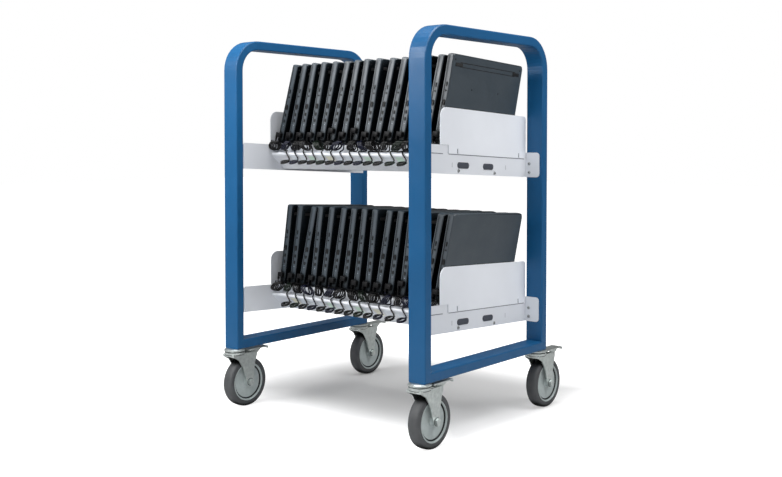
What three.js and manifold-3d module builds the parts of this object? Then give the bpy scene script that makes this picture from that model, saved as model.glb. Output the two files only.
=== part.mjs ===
// An open charging cart for notebook computers: two blue tube end frames, two sloping
// sheet trays with a divider rack and end plates, a charging unit under each tray, and
// four braked swivel casters. It is modelled loaded, with one closed notebook in each slot.
// Millimetres, +Z up from the floor, X along the cart, the lead side faces -Y.

import * as THREE from 'three';
import { mergeVertices } from 'three/addons/utils/BufferGeometryUtils.js';
import Module from 'manifold-3d';

const wasm = await Module();
wasm.setup();

// End frames: rectangular steel tube, bent at the top, square at the bottom
const CART_LENGTH = 710;
const FRAME_DEPTH = 552;
const FRAME_HEIGHT = 860;
const TUBE_WIDE = 52;
const TUBE_THIN = 25;
const TUBE_EDGE = 3;
const TOP_BEND = 85;

// Casters
const WHEEL_WIDTH = 33;
const TREAD_DEPTH = 16;
const TREAD_CROWN = 8;
const TREAD_SHOULDER = 4;
const HUB_RIM = 5;
const HUB_DISH = 6;
const CASTER_HEIGHT = 168;
const FORK_HEADROOM = 30;
const SWIVEL_TRAIL = 38;
const RACE_DIAMETER = 58;
const RACE_HEIGHT = 8;
const FORK_PLATE = 3;
const FORK_BOSS = 12;
const LEG_FRONT = 23;
const LEG_SWEEP = 8;
const WHEEL_SIDE_GAP = 3;
const AXLE_DIAMETER = 10;
const NUT_ACROSS = 19;
const NUT_HEIGHT = 7;
const NUT_SIDES = 6;
const PEDAL_REACH = 113;
const PEDAL_WIDTH = 34;
const PEDAL_PLATE = 2.5;
const PEDAL_PIVOT_BACK = 58;
const PEDAL_PIVOT_DROP = 20;
const PEDAL_PIN = 6;

// Trays: bent from one sheet, with a lead ledge, a raised platform and a rear stop
const SHEET = 2;
const BEND = 3;
const TRAY_TILT = THREE.MathUtils.degToRad(2.7);
const LOWER_LEDGE_RISE = 140;
const UPPER_LEDGE_DROP = 319;
const LIP_FRONT = 145;
const LIP_HEIGHT = 46;
const LIP_EDGE = 8;
const LIP_SETBACK = 46;
const LIP_RETURN = 14;
const PLATFORM_FRONT = 114;
const PLATFORM_RISE = 22;
const REAR_STOP = 203;
const REAR_STOP_HEIGHT = 45;
const SKIRT_HEIGHT = 50;
const SKIRT_INSET = 1;
const TAB_WIDTH = 43;
const TAB_RISE = 18;
const TAB_CORNER = 9;
const SLIT = 2;
const SLIT_DEPTH = 1.2;
const PLUG_HEIGHT = 16;
const PLUG_RECESS = 0.8;
const PLUG_DROP = 27;
const FRONT_PLUG = [-75, -24];
const REAR_PLUG = [39, 87];

// End plates: upright sheets that close both ends of each tray
const PLATE_FRONT = 148;
const PLATE_REAR_GAP = 5;
const PLATE_HEIGHT = 95;
const PLATE_CORNER = 25;
const HOOK_WIDTH = 6;
const HOOK_PROUD = 2;
const HOOK_HEIGHT = 14;
const HOOK_PLACES = [-72, 213];

// Divider racks: one black moulding on each platform
const SLOTS = 15;
const DIVIDER_HEIGHT = 60;
const DIVIDER_THICK = 2.5;
const RACK_BASE = 2.5;
const RACK_FRONT = 100;
const RACK_REAR = 195;
const RACK_CORNER = 22;

// Charging units, hung under the platforms
const UNIT_LENGTH = 440;
const UNIT_FRONT = 60;
const UNIT_REAR = 130;
const UNIT_HEIGHT = 56;
const UNIT_CORNER = 8;
const UNIT_RIBS = 12;
const RIB_GROOVE = 5;
const RIB_DEPTH = 3;
const INLET_WIDTH = 28;
const INLET_HEIGHT = 20;
const INLET_DEPTH = 12;
const INLET_PLACE = 110;

// Notebooks
const BOOK_LENGTH = 322;
const BOOK_DEPTH = 228;
const BOOK_THICK = 20;
const BOOK_CORNER = 9;
const BOOK_EDGE = 2;
const LID_INSET = 0.8;
const LID_THICK = 7.5;
const BOOK_FRONT = 131;
// How far each notebook leans over in its slot, as a share of what the slot lets it lean
const UPPER_LEAN = [0.8, 0.78, 0.7, 0.63, 0.7, 0.8, 0.7, 0.55, 0.6, 0.76, 0.75, 0.65, 0.66, 0.7, 0.8];
const LOWER_LEAN = [0.3, 0.35, 0.66, 0.32, 0.4, 0.5, 0.42, 0.36, 0.3, 0.52, 0.46, 0.36, 0.45, 0.7, 0.85];

// Clearances
const TOUCH = 0.3;
const RUNNING = 0.3;
// How far a joined or cutting solid runs past the face it meets
const OVERRUN = 1;

// Facets along a quarter turn of an outline, and round a turned piece
const ARC_STEPS = 2;
const BEND_STEPS = 5;
const EDGE_STEPS = 2;
const ROUND_STEPS = 20;
const PIN_STEPS = 12;
const LEG_STEPS = 3;
const POINTS_A_CORNER = 3;

// Places that follow from the sizes above
const FRAME_INNER = CART_LENGTH / 2 - TUBE_WIDE;
const POST_INNER = FRAME_DEPTH / 2 - TUBE_THIN;
const SWIVEL_X = (CART_LENGTH - TUBE_WIDE) / 2;
const SWIVEL_Y = (FRAME_DEPTH - TUBE_THIN) / 2;
const LOWER_LEDGE = CASTER_HEIGHT + LOWER_LEDGE_RISE;
const UPPER_LEDGE = CASTER_HEIGHT + FRAME_HEIGHT - UPPER_LEDGE_DROP;
const PLATE_REAR = POST_INNER - PLATE_REAR_GAP;
const SKIRT_OUTER = FRAME_INNER - SKIRT_INSET;
const SKIRT_INNER = SKIRT_OUTER - SHEET;
const TRAY_END = SKIRT_INNER + SHEET / 2;
const PLATE_INNER = TRAY_END + TOUCH;
const SEAT = PLATFORM_RISE + TOUCH + RACK_BASE;
const SLOT_PITCH = (2 * PLATE_INNER) / SLOTS;
const WHEEL_RADIUS = (CASTER_HEIGHT - FORK_HEADROOM) / 2;
const RACE_RADIUS = RACE_DIAMETER / 2;
const FORK_INNER = WHEEL_WIDTH / 2 + WHEEL_SIDE_GAP;
const PIVOT_HEIGHT = CASTER_HEIGHT - PEDAL_PIVOT_DROP;

const FINISH = {
  frameBlue: { color: 0x2c5d8f, roughness: 0.42, metalness: 0.15 },
  sheetWhite: { color: 0xdde1e6, roughness: 0.5, metalness: 0.05 },
  rackBlack: { color: 0x1b1d20, roughness: 0.6, metalness: 0 },
  unitGrey: { color: 0x3a3d41, roughness: 0.55, metalness: 0.1 },
  zinc: { color: 0xa7aeac, roughness: 0.35, metalness: 0.85 },
  wheelGrey: { color: 0x5a5d61, roughness: 0.7, metalness: 0 },
  bookCharcoal: { color: 0x41484f, roughness: 0.55, metalness: 0 },
};

const cart = new THREE.Group();

function addPiece(name, geometry, finish, parent = cart) {
  const piece = new THREE.Mesh(geometry, new THREE.MeshStandardMaterial(FINISH[finish]));
  piece.name = name;
  parent.add(piece);
  return piece;
}

// Turns a closed geometry into a solid that can be joined and cut
function solidOf(geometry) {
  const bare = geometry.clone();
  bare.deleteAttribute('normal');
  bare.deleteAttribute('uv');
  const merged = mergeVertices(bare, 1e-4);
  const vertProperties = Float32Array.from(merged.attributes.position.array);
  const triVerts = Uint32Array.from(merged.index.array);
  return new wasm.Manifold(new wasm.Mesh({ numProp: 3, vertProperties, triVerts }));
}

function geometryOf(solid) {
  const mesh = solid.getMesh();
  const geometry = new THREE.BufferGeometry();
  geometry.setAttribute('position', new THREE.BufferAttribute(mesh.vertProperties, 3));
  geometry.setIndex(new THREE.BufferAttribute(mesh.triVerts, 1));
  return geometry;
}

function join(geometries) {
  return geometries.map(solidOf).reduce((whole, next) => whole.add(next));
}

// Adds corners [x, y, radius] to a path, with an arc wherever a corner has a radius
function trace(path, corners) {
  corners.forEach(([x, y, radius = 0], i) => {
    const corner = new THREE.Vector2(x, y);
    const before = corners[(i + corners.length - 1) % corners.length];
    const after = corners[(i + 1) % corners.length];
    const back = new THREE.Vector2(before[0], before[1]).sub(corner).normalize();
    const on = new THREE.Vector2(after[0], after[1]).sub(corner).normalize();
    const half = Math.acos(THREE.MathUtils.clamp(back.dot(on), -1, 1)) / 2;
    const start = back.clone().multiplyScalar(radius / Math.tan(half)).add(corner);
    if (i === 0) path.moveTo(start.x, start.y);
    else path.lineTo(start.x, start.y);
    if (radius === 0) return;
    const centre = back.clone().add(on).normalize().multiplyScalar(radius / Math.sin(half)).add(corner);
    const end = on.clone().multiplyScalar(radius / Math.tan(half)).add(corner);
    const clockwise = on.cross(back) < 0;
    path.absarc(centre.x, centre.y, radius, start.sub(centre).angle(), end.sub(centre).angle(), clockwise);
  });
  path.closePath();
  return path;
}

function outline(corners) {
  return trace(new THREE.Shape(), corners);
}

function circle(x, y, radius) {
  return new THREE.Shape().absarc(x, y, radius, 0, 2 * Math.PI, false);
}

function obround(from, to, middle, height) {
  const end = height / 2;
  return outline([
    [from, middle - end, end],
    [to, middle - end, end],
    [to, middle + end, end],
    [from, middle + end, end],
  ]);
}

function extrude(shape, depth, steps = ARC_STEPS) {
  return new THREE.ExtrudeGeometry(shape, { depth, bevelEnabled: false, curveSegments: steps });
}

// A shape drawn in Y and Z, extruded along X
const YZ_ALONG_X = new THREE.Matrix4().set(0, 0, 1, 0, 1, 0, 0, 0, 0, 1, 0, 0, 0, 0, 0, 1);
function acrossX(shape, from, to, steps) {
  const [low, high] = [Math.min(from, to), Math.max(from, to)];
  return extrude(shape, high - low, steps).applyMatrix4(YZ_ALONG_X).translate(low, 0, 0);
}

// A shape drawn in X and Z, extruded along Y
const XZ_ALONG_Y = new THREE.Matrix4().set(1, 0, 0, 0, 0, 0, -1, 0, 0, 1, 0, 0, 0, 0, 0, 1);
function acrossY(shape, from, to, steps) {
  return extrude(shape, to - from, steps).applyMatrix4(XZ_ALONG_Y).translate(0, to, 0);
}

// Lets a level tray slope down towards the back while its upright faces stay upright
const SLOPE = new THREE.Matrix4().set(1, 0, 0, 0, 0, 1, 0, 0, 0, -Math.tan(TRAY_TILT), 1, 0, 0, 0, 0, 1);
function sloped(geometry, ledge) {
  return geometry.applyMatrix4(SLOPE).translate(0, 0, ledge);
}

// A bent sheet's section: the line is its outer face, and the sheet lies on the line's right
function sheetSection(line) {
  const points = line.map(([y, z]) => new THREE.Vector2(y, z));
  const steps = points.slice(1).map((p, i) => p.clone().sub(points[i]).normalize());
  const sides = steps.map((d) => new THREE.Vector2(d.y, -d.x));
  const face = line.map(([y, z], i) => [y, z, bendRadius(steps, i, BEND + SHEET, BEND)]);
  const inside = line.map(([y, z], i) => {
    const first = sides[Math.max(i - 1, 0)];
    const second = sides[Math.min(i, sides.length - 1)];
    const shift = first.clone().add(second).multiplyScalar(SHEET / (1 + first.dot(second)));
    return [y + shift.x, z + shift.y, bendRadius(steps, i, BEND, BEND + SHEET)];
  });
  return outline([...face, ...inside.reverse()]);
}

function bendRadius(steps, i, rightTurn, leftTurn) {
  if (i === 0 || i === steps.length) return 0;
  return steps[i - 1].cross(steps[i]) < 0 ? rightTurn : leftTurn;
}

// A body of revolution about Z from [radius, height] points, with flats standing outside the circle
function turned(points, steps = ROUND_STEPS) {
  const reach = 1 / Math.cos(Math.PI / steps);
  const profile = points.map(([r, z]) => new THREE.Vector2(r * reach, z));
  return new THREE.LatheGeometry(profile, steps, Math.PI / steps).rotateX(Math.PI / 2);
}

function endFrame() {
  const deep = FRAME_DEPTH / 2;
  const top = CASTER_HEIGHT + FRAME_HEIGHT;
  const shape = outline([
    [-deep, CASTER_HEIGHT],
    [deep, CASTER_HEIGHT],
    [deep, top, TOP_BEND],
    [-deep, top, TOP_BEND],
  ]);
  shape.holes.push(trace(new THREE.Path(), [
    [-POST_INNER, CASTER_HEIGHT + TUBE_THIN],
    [-POST_INNER, top - TUBE_THIN, TOP_BEND - TUBE_THIN],
    [POST_INNER, top - TUBE_THIN, TOP_BEND - TUBE_THIN],
    [POST_INNER, CASTER_HEIGHT + TUBE_THIN],
  ]));
  const tube = new THREE.ExtrudeGeometry(shape, {
    depth: TUBE_WIDE - 2 * TUBE_EDGE,
    bevelEnabled: true,
    bevelThickness: TUBE_EDGE,
    bevelSize: TUBE_EDGE,
    bevelOffset: -TUBE_EDGE,
    bevelSegments: EDGE_STEPS,
    curveSegments: BEND_STEPS,
  });
  tube.applyMatrix4(YZ_ALONG_X).translate(TUBE_EDGE - TUBE_WIDE / 2, 0, 0);
  return geometryOf(solidOf(tube));
}

// The deck with its lip raked back under the ledge, its platform and rear stop, and a skirt
// with two tabs at each end
function tray(ledge) {
  const deck = acrossX(sheetSection([
    [-LIP_FRONT + LIP_SETBACK + LIP_RETURN, -LIP_HEIGHT],
    [-LIP_FRONT + LIP_SETBACK, -LIP_HEIGHT],
    [-LIP_FRONT, -LIP_EDGE],
    [-LIP_FRONT, 0],
    [-PLATFORM_FRONT, 0],
    [-PLATFORM_FRONT, PLATFORM_RISE],
    [REAR_STOP, PLATFORM_RISE],
    [REAR_STOP, PLATFORM_RISE + REAR_STOP_HEIGHT],
  ]), -TRAY_END, TRAY_END, 1);
  let whole = solidOf(deck);
  for (const side of [-1, 1]) {
    whole = whole.add(traySkirt(side));
  }
  return sloped(geometryOf(whole), ledge);
}

function traySkirt(side) {
  const end = POST_INNER - TOUCH;
  const upstandRear = -PLATFORM_FRONT - SLIT;
  const face = outline([
    [-end, -SKIRT_HEIGHT],
    [end, -SKIRT_HEIGHT],
    [end, 0],
    [upstandRear, 0],
    [upstandRear, PLATFORM_RISE],
    [-end, PLATFORM_RISE],
  ]);
  const tab = outline([
    [side * SKIRT_INNER, -SKIRT_HEIGHT],
    [side * (SKIRT_OUTER + TAB_WIDTH), -SKIRT_HEIGHT, TAB_CORNER],
    [side * (SKIRT_OUTER + TAB_WIDTH), TAB_RISE, TAB_CORNER],
    [side * SKIRT_INNER, TAB_RISE],
  ]);
  const slit = outline([
    [SLIT - end + TAB_CORNER, -SLIT / 2],
    [-LIP_FRONT + TAB_CORNER, -SLIT / 2],
    [-LIP_FRONT + TAB_CORNER, SLIT / 2],
    [SLIT - end + TAB_CORNER, SLIT / 2],
  ]);
  let skirt = join([
    acrossX(face, side * SKIRT_INNER, side * SKIRT_OUTER),
    acrossY(tab, end - SHEET, end),
    acrossY(tab, -end, SHEET - end),
  ]);
  const past = side * (SKIRT_OUTER + OVERRUN);
  skirt = skirt.subtract(solidOf(acrossX(slit, side * (SKIRT_OUTER - SLIT_DEPTH), past)));
  for (const [from, to] of [FRONT_PLUG, REAR_PLUG]) {
    const recess = obround(from, to, -PLUG_DROP, PLUG_HEIGHT);
    skirt = skirt.subtract(solidOf(acrossX(recess, side * (SKIRT_OUTER - PLUG_RECESS), past)));
  }
  return skirt;
}

function endPlate(side, ledge) {
  const foot = SLIT / 2;
  const top = PLATFORM_RISE + PLATE_HEIGHT;
  const face = outline([
    [-PLATFORM_FRONT, foot],
    [PLATE_REAR, foot],
    [PLATE_REAR, top, TAB_CORNER],
    [-PLATE_FRONT, top, PLATE_CORNER],
    [-PLATE_FRONT, PLATFORM_RISE + TOUCH],
    [-PLATFORM_FRONT, PLATFORM_RISE + TOUCH],
  ]);
  const inner = side * PLATE_INNER;
  const outer = side * (PLATE_INNER + SHEET);
  const hooks = HOOK_PLACES.map((y) => acrossX(outline([
    [y - HOOK_WIDTH / 2, foot + SHEET],
    [y + HOOK_WIDTH / 2, foot + SHEET],
    [y + HOOK_WIDTH / 2, foot + SHEET + HOOK_HEIGHT, HOOK_WIDTH / 2],
    [y - HOOK_WIDTH / 2, foot + SHEET + HOOK_HEIGHT, HOOK_WIDTH / 2],
  ]), (inner + outer) / 2, outer + side * HOOK_PROUD, 1));
  return sloped(geometryOf(join([acrossX(face, inner, outer), ...hooks])), ledge);
}

// Right-hand face of the divider or end plate that closes slot i
function slotRight(i) {
  const line = -PLATE_INNER + SLOT_PITCH * (i + 1);
  return i === SLOTS - 1 ? line : line - DIVIDER_THICK / 2;
}

function slotLeft(i) {
  const line = -PLATE_INNER + SLOT_PITCH * i;
  return i === 0 ? line : line + DIVIDER_THICK / 2;
}

// A comb section along the tray, rounded off at the front and back of its dividers
function dividerRack(ledge) {
  const low = PLATFORM_RISE + TOUCH;
  const high = SEAT + DIVIDER_HEIGHT;
  const end = PLATE_INNER - TOUCH;
  const comb = [[-end, low], [end, low], [end, SEAT]];
  for (let i = SLOTS - 2; i >= 0; i -= 1) {
    const left = slotRight(i);
    const right = slotLeft(i + 1);
    comb.push([right, SEAT], [right, high], [left, high], [left, SEAT]);
  }
  comb.push([-end, SEAT]);
  const side = outline([
    [-RACK_FRONT, low],
    [RACK_REAR, low],
    [RACK_REAR, high, RACK_CORNER],
    [-RACK_FRONT, high, RACK_CORNER],
  ]);
  const rack = solidOf(acrossY(outline(comb), -RACK_FRONT - OVERRUN, RACK_REAR + OVERRUN));
  const rounded = rack.intersect(solidOf(acrossX(side, -end - OVERRUN, end + OVERRUN)));
  return sloped(geometryOf(rounded), ledge);
}

// A vented case with a mains inlet at the back, its lid against the platform's underside
function chargingUnit(ledge) {
  const high = PLATFORM_RISE - SHEET - TOUCH;
  const low = high - UNIT_HEIGHT;
  const half = UNIT_LENGTH / 2;
  const plan = outline([
    [-half, -UNIT_FRONT, UNIT_CORNER],
    [half, -UNIT_FRONT, UNIT_CORNER],
    [half, UNIT_REAR, UNIT_CORNER],
    [-half, UNIT_REAR, UNIT_CORNER],
  ]);
  let unit = solidOf(extrude(plan, UNIT_HEIGHT).translate(0, 0, low));
  const spacing = UNIT_LENGTH / (UNIT_RIBS + 1);
  for (let i = 1; i <= UNIT_RIBS; i += 1) {
    const x = -half + spacing * i;
    const groove = outline([
      [x - RIB_GROOVE / 2, 2 * UNIT_CORNER - UNIT_FRONT],
      [x + RIB_GROOVE / 2, 2 * UNIT_CORNER - UNIT_FRONT],
      [x + RIB_GROOVE / 2, UNIT_REAR - 2 * UNIT_CORNER],
      [x - RIB_GROOVE / 2, UNIT_REAR - 2 * UNIT_CORNER],
    ]);
    const cut = extrude(groove, 2 * RIB_DEPTH).translate(0, 0, low - RIB_DEPTH);
    unit = unit.subtract(solidOf(cut));
  }
  const inletLow = low + INLET_HEIGHT / 2;
  const inlet = outline([
    [INLET_PLACE - INLET_WIDTH / 2, inletLow],
    [INLET_PLACE + INLET_WIDTH / 2, inletLow],
    [INLET_PLACE + INLET_WIDTH / 2, inletLow + INLET_HEIGHT],
    [INLET_PLACE - INLET_WIDTH / 2, inletLow + INLET_HEIGHT],
  ]);
  unit = unit.subtract(solidOf(acrossY(inlet, UNIT_REAR - INLET_DEPTH, UNIT_REAR + OVERRUN)));
  return sloped(geometryOf(unit), ledge);
}

// One ring of a notebook's outline, drawn in by an amount, at a height in its thickness
function bookRing(inset, height) {
  const shape = outline([
    [inset, inset, BOOK_CORNER],
    [BOOK_LENGTH - inset, inset, BOOK_CORNER],
    [BOOK_LENGTH - inset, BOOK_DEPTH - inset, BOOK_CORNER],
    [inset, BOOK_DEPTH - inset, BOOK_CORNER],
  ]);
  const points = shape.getPoints(1).slice(0, 4 * POINTS_A_CORNER);
  return points.map((p) => new THREE.Vector3(-height, p.x, p.y));
}

// A closed notebook on its long edge: a rounded base, and the lid a little smaller on it.
// Its back is at X 0, it runs along +Y and stands on Z 0.
function notebook() {
  const seam = BOOK_THICK - LID_THICK;
  const rings = [
    bookRing(BOOK_EDGE, 0),
    bookRing(0, BOOK_EDGE),
    bookRing(0, seam),
    bookRing(LID_INSET, seam),
    bookRing(LID_INSET, BOOK_THICK - BOOK_EDGE),
    bookRing(LID_INSET + BOOK_EDGE, BOOK_THICK),
  ];
  const count = rings[0].length;
  const faces = [];
  for (let i = 1; i < count - 1; i += 1) {
    const last = (rings.length - 1) * count;
    faces.push(0, i, i + 1, last, last + i + 1, last + i);
  }
  for (let ring = 0; ring < rings.length - 1; ring += 1) {
    for (let i = 0; i < count; i += 1) {
      const a = ring * count + i;
      const b = ring * count + ((i + 1) % count);
      faces.push(a, a + count, b, b, a + count, b + count);
    }
  }
  const geometry = new THREE.BufferGeometry().setFromPoints(rings.flat());
  geometry.setIndex(faces);
  return geometry;
}

// Each notebook stands on its lower right corner and leans on the slot's right side
function loadShelf(shelf, ledge, leans) {
  const book = notebook();
  const row = new THREE.Group();
  row.position.z = ledge;
  row.rotation.x = -TRAY_TILT;
  cart.add(row);
  for (let i = 0; i < SLOTS; i += 1) {
    const prop = i === SLOTS - 1 ? PLATE_HEIGHT - RACK_BASE - TOUCH : DIVIDER_HEIGHT;
    const spare = slotRight(i) - slotLeft(i) - BOOK_THICK - 3 * TOUCH;
    const lean = leans[i] * Math.atan(spare / prop);
    const number = String(i + 1).padStart(2, '0');
    const piece = addPiece(`${shelf}_notebook_${number}`, book.clone(), 'bookCharcoal', row);
    const foot = slotRight(i) - TOUCH / Math.cos(lean) - prop * Math.tan(lean);
    piece.position.set(foot, -BOOK_FRONT, SEAT + TOUCH);
    piece.rotation.y = lean;
  }
}

for (const [end, side] of [['left', -1], ['right', 1]]) {
  const frame = addPiece(`${end}_end_frame`, endFrame(), 'frameBlue');
  frame.position.x = side * SWIVEL_X;
}
for (const [shelf, ledge, leans] of [
  ['upper', UPPER_LEDGE, UPPER_LEAN],
  ['lower', LOWER_LEDGE, LOWER_LEAN],
]) {
  addPiece(`${shelf}_tray`, tray(ledge), 'sheetWhite');
  addPiece(`${shelf}_left_end_plate`, endPlate(-1, ledge), 'sheetWhite');
  addPiece(`${shelf}_right_end_plate`, endPlate(1, ledge), 'sheetWhite');
  addPiece(`${shelf}_divider_rack`, dividerRack(ledge), 'rackBlack');
  addPiece(`${shelf}_charging_unit`, chargingUnit(ledge), 'unitGrey');
  loadShelf(shelf, ledge, leans);
}

// Upper ball race, fixed under the post
function swivelHead() {
  const top = CASTER_HEIGHT - TOUCH;
  const low = CASTER_HEIGHT - RACE_HEIGHT;
  return turned([
    [0, top],
    [RACE_RADIUS - RACE_HEIGHT / 2, top],
    [RACE_RADIUS, top - RACE_HEIGHT / 3],
    [RACE_RADIUS, low + RACE_HEIGHT / 4],
    [RACE_RADIUS - RACE_HEIGHT / 4, low],
    [0, low],
  ].reverse());
}

// Lower ball race and the pressed yoke under it, with the axle bolt through its legs
function fork() {
  const raceTop = CASTER_HEIGHT - RACE_HEIGHT - RUNNING;
  const raceLow = raceTop - RACE_HEIGHT;
  const crown = raceLow - FORK_PLATE * 2;
  const legRear = PEDAL_PIVOT_BACK + FORK_BOSS / 2;
  const race = turned([
    [0, raceLow],
    [RACE_RADIUS - RACE_HEIGHT / 4, raceLow],
    [RACE_RADIUS - RACE_HEIGHT / 8, raceTop - RACE_HEIGHT / 4],
    [RACE_RADIUS - RACE_HEIGHT / 2, raceTop],
    [0, raceTop],
  ]);
  const bridge = acrossX(outline([
    [-LEG_FRONT, crown],
    [RACE_RADIUS, crown],
    [RACE_RADIUS, raceLow + OVERRUN],
    [-LEG_FRONT, raceLow + OVERRUN],
  ]), -FORK_INNER - FORK_PLATE, FORK_INNER + FORK_PLATE);
  const leg = new THREE.Shape();
  leg.moveTo(-LEG_FRONT, raceLow + OVERRUN);
  leg.lineTo(-LEG_FRONT, crown);
  leg.quadraticCurveTo(LEG_SWEEP, crown - FORK_BOSS / 3, SWIVEL_TRAIL - FORK_BOSS, WHEEL_RADIUS);
  leg.absarc(SWIVEL_TRAIL, WHEEL_RADIUS, FORK_BOSS, Math.PI, 2 * Math.PI, false);
  leg.quadraticCurveTo(legRear - FORK_BOSS, crown - FORK_BOSS * 2, legRear, PIVOT_HEIGHT - FORK_BOSS / 2);
  leg.lineTo(legRear, raceLow + OVERRUN);
  leg.closePath();
  const eye = circle(PEDAL_PIVOT_BACK, PIVOT_HEIGHT, PEDAL_PIN / 2 + RUNNING);
  let yoke = join([race, bridge]);
  for (const side of [-1, 1]) {
    const inner = side * FORK_INNER;
    const outer = side * (FORK_INNER + FORK_PLATE);
    yoke = yoke.add(solidOf(acrossX(leg, inner, outer, LEG_STEPS)));
    yoke = yoke.subtract(solidOf(acrossX(eye, inner - side, outer + side, PIN_STEPS / 2)));
  }
  const span = FORK_INNER + FORK_PLATE + NUT_HEIGHT;
  const axleLength = 2 * (span - OVERRUN);
  const axle = new THREE.CylinderGeometry(AXLE_DIAMETER / 2, AXLE_DIAMETER / 2, axleLength, PIN_STEPS);
  yoke = yoke.add(solidOf(axle.rotateZ(Math.PI / 2).translate(0, SWIVEL_TRAIL, WHEEL_RADIUS)));
  for (const side of [-1, 1]) {
    const thick = NUT_HEIGHT + OVERRUN;
    const nut = new THREE.CylinderGeometry(NUT_ACROSS / 2, NUT_ACROSS / 2, thick, NUT_SIDES);
    nut.rotateZ(Math.PI / 2).translate(side * (span - thick / 2), SWIVEL_TRAIL, WHEEL_RADIUS);
    yoke = yoke.add(solidOf(nut));
  }
  return geometryOf(yoke);
}

// Tread and hub, turned about the axle
function wheel() {
  const half = WHEEL_WIDTH / 2;
  const bore = AXLE_DIAMETER / 2 + RUNNING;
  const boss = FORK_INNER - RUNNING;
  const rim = WHEEL_RADIUS - TREAD_DEPTH;
  const far = [
    [bore, -boss],
    [bore + FORK_BOSS / 2, -boss],
    [bore + FORK_BOSS / 2, HUB_DISH - half],
    [rim - HUB_RIM, HUB_DISH - half],
    [rim, -half],
    [WHEEL_RADIUS - TREAD_SHOULDER, -half],
    [WHEEL_RADIUS, TREAD_CROWN - half],
  ];
  const near = far.map(([r, x]) => [r, -x]).reverse();
  return turned([...far, ...near, far[0]]).rotateY(Math.PI / 2).translate(0, SWIVEL_TRAIL, WHEEL_RADIUS);
}

// Bent pedal plate with two cheeks, turning on a pin between the fork's legs
function brakePedal() {
  const high = CASTER_HEIGHT - RACE_HEIGHT;
  const front = RACE_RADIUS + 3 * RUNNING + PEDAL_PLATE;
  const bendAt = PEDAL_PIVOT_BACK + PEDAL_REACH / 4;
  const low = PIVOT_HEIGHT - PEDAL_PIN;
  const half = PEDAL_WIDTH / 2;
  const tread = outline([
    [front, high - PEDAL_PLATE],
    [bendAt, high - PEDAL_PLATE],
    [PEDAL_REACH - PEDAL_PLATE, high - PEDAL_PLATE],
    [PEDAL_REACH, high - 3 * PEDAL_PLATE],
    [PEDAL_REACH, high],
    [bendAt, high],
    [front, high],
  ]);
  const cheek = outline([
    [PEDAL_PIVOT_BACK - FORK_BOSS, high - PEDAL_PLATE / 2],
    [PEDAL_PIVOT_BACK - FORK_BOSS, PIVOT_HEIGHT],
    [PEDAL_PIVOT_BACK - FORK_BOSS / 2, low],
    [PEDAL_PIVOT_BACK + FORK_BOSS / 2, low],
    [bendAt, high - PEDAL_PLATE / 2],
  ]);
  const pinHalf = FORK_INNER + FORK_PLATE;
  const pin = new THREE.CylinderGeometry(PEDAL_PIN / 2, PEDAL_PIN / 2, 2 * pinHalf, PIN_STEPS);
  return geometryOf(join([
    acrossX(tread, -half, half),
    acrossX(cheek, half - PEDAL_PLATE, half),
    acrossX(cheek, -half, PEDAL_PLATE - half),
    pin.rotateZ(Math.PI / 2).translate(0, PEDAL_PIVOT_BACK, PIVOT_HEIGHT),
  ]));
}

for (const [row, back] of [['front', -1], ['rear', 1]]) {
  for (const [end, side] of [['left', -1], ['right', 1]]) {
    const caster = new THREE.Group();
    caster.position.set(side * SWIVEL_X, back * SWIVEL_Y, 0);
    cart.add(caster);
    addPiece(`${row}_${end}_swivel_head`, swivelHead(), 'zinc', caster);
    addPiece(`${row}_${end}_fork`, fork(), 'zinc', caster);
    addPiece(`${row}_${end}_wheel`, wheel(), 'wheelGrey', caster);
    addPiece(`${row}_${end}_brake_pedal`, brakePedal(), 'zinc', caster);
  }
}

// The origin is on the floor under the middle of the whole cart, trailing casters included
const reachBack = SWIVEL_Y + Math.max(PEDAL_REACH, SWIVEL_TRAIL + WHEEL_RADIUS);
const reachFront = -SWIVEL_Y - Math.max(RACE_RADIUS, WHEEL_RADIUS - SWIVEL_TRAIL);
cart.position.y = -(reachBack + Math.min(reachFront, -FRAME_DEPTH / 2)) / 2;

export default cart;
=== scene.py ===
"""A laptop charging cart in its studio: finishes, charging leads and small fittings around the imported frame.

Metres, +Z up, X along the row of notebooks, the lead side faces -Y.
"""

import math
import random

import bmesh
import bpy
import numpy as np
from mathutils import Matrix, Vector


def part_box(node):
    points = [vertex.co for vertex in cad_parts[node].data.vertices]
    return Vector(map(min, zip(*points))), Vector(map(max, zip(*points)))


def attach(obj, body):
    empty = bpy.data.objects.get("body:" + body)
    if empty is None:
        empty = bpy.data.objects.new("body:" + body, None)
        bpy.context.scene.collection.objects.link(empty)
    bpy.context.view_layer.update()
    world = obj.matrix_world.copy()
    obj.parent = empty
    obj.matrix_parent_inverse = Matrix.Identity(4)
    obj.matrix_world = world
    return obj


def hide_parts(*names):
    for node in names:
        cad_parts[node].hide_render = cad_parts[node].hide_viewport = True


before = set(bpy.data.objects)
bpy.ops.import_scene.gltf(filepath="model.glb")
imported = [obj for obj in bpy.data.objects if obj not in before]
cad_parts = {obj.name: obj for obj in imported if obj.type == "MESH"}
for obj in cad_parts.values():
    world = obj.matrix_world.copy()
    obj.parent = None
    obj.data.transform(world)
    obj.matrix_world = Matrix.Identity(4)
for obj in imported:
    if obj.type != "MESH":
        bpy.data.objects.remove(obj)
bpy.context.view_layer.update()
scene = bpy.context.scene
scene.view_settings.view_transform = "Standard"


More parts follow.
